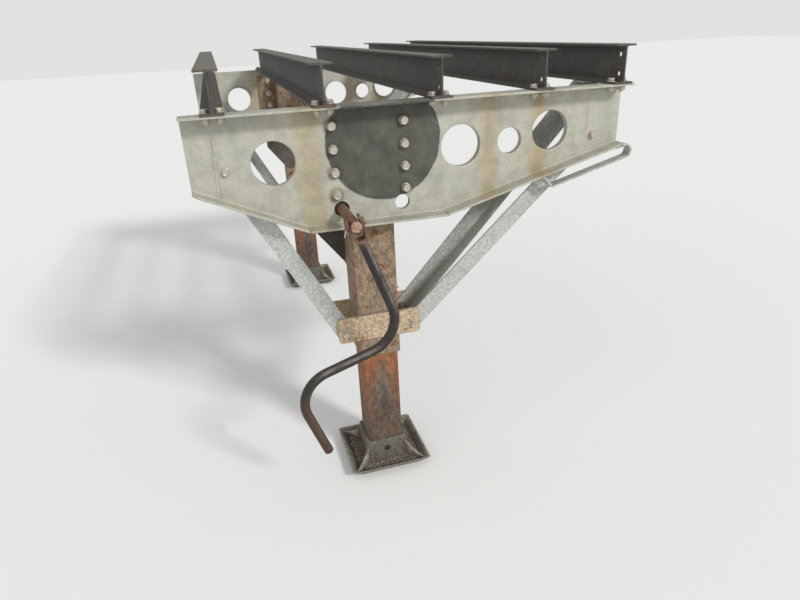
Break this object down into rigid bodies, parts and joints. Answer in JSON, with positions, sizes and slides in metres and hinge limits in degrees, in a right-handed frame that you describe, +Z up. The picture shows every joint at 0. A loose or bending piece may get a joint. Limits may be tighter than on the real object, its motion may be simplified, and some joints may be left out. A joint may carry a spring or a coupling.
{
  "type": "semi trailer landing gear",
  "caption": "Landing gear of a semi trailer: two telescoping legs with sand shoes, braced wing plates, folding crank, cross shaft and cross-members.",
  "frame": {"origin": "on the floor, under the axis of the near leg, the one with the crank", "axes": "+X along the trailer to the right in the picture, +Y across it from the crank side to the far side, +Z up"},
  "size_m": [1.2492, 2.0795, 1.265],
  "materials": {
    "galvanised": "dull galvanised, dusty, with tan stains",
    "leg_paint": "old tan-brown paint, speckled with rust",
    "rusty_steel": "bare steel with brown rust and dust",
    "dark_steel": "dark worn steel",
    "member_paint": "dull dark paint, dusty"
  },
  "bodies": {
    "frame": {"near_wing_plate": "galvanised", "near_mount_plate": "leg_paint", "near_outer_tube": "leg_paint", "near_gear_case": "leg_paint", "near_outer_bracket": "leg_paint", "near_inner_bracket": "leg_paint", "near_left_brace": "galvanised", "near_right_brace": "galvanised", "near_inboard_brace": "galvanised", "far_wing_plate": "galvanised", "far_mount_plate": "leg_paint", "far_outer_tube": "leg_paint", "far_gear_case": "leg_paint", "far_outer_bracket": "leg_paint", "far_inner_bracket": "leg_paint", "far_left_brace": "galvanised", "far_right_brace": "galvanised", "far_inboard_brace": "galvanised", "cross_member_1": "member_paint", "cross_member_2": "member_paint", "cross_member_3": "member_paint", "cross_member_4": "member_paint", "cross_member_5": "member_paint", "crank_holder": "galvanised"},
    "near_leg": {"near_inner_tube": "rusty_steel", "near_shoe": "rusty_steel", "near_shoe_pin": "dark_steel"},
    "far_leg": {"far_inner_tube": "rusty_steel", "far_shoe": "rusty_steel", "far_shoe_pin": "dark_steel"},
    "crank_line": {"crank_shaft": "dark_steel", "crank_pin": "dark_steel", "near_coupling": "dark_steel", "cross_shaft": "member_paint", "far_coupling": "dark_steel", "stub_shaft": "dark_steel"},
    "crank_handle": {"crank_handle": "dark_steel"}
  },
  "joints": [
    {"name": "near_leg_slide", "type": "slide", "parent": "frame", "child": "near_leg", "axis": [0, 0, 1], "range_m": [-0.15, 0.3]},
    {"name": "far_leg_slide", "type": "slide", "parent": "frame", "child": "far_leg", "axis": [0, 0, 1], "range_m": [-0.15, 0.3]},
    {"name": "crank_turn", "type": "hinge", "parent": "frame", "child": "crank_line", "pos_m": [-0.086, 0, 0.89], "axis": [0, 1, 0], "continuous": true},
    {"name": "crank_fold", "type": "hinge", "parent": "crank_line", "child": "crank_handle", "pos_m": [-0.086, -0.2355, 0.89], "axis": [-0.9432, 0, -0.3322], "range_deg": [0, 90]}
  ],
  "couplings": [
    {"joint": "far_leg_slide", "follows": "near_leg_slide", "ratio": 1}
  ]
}
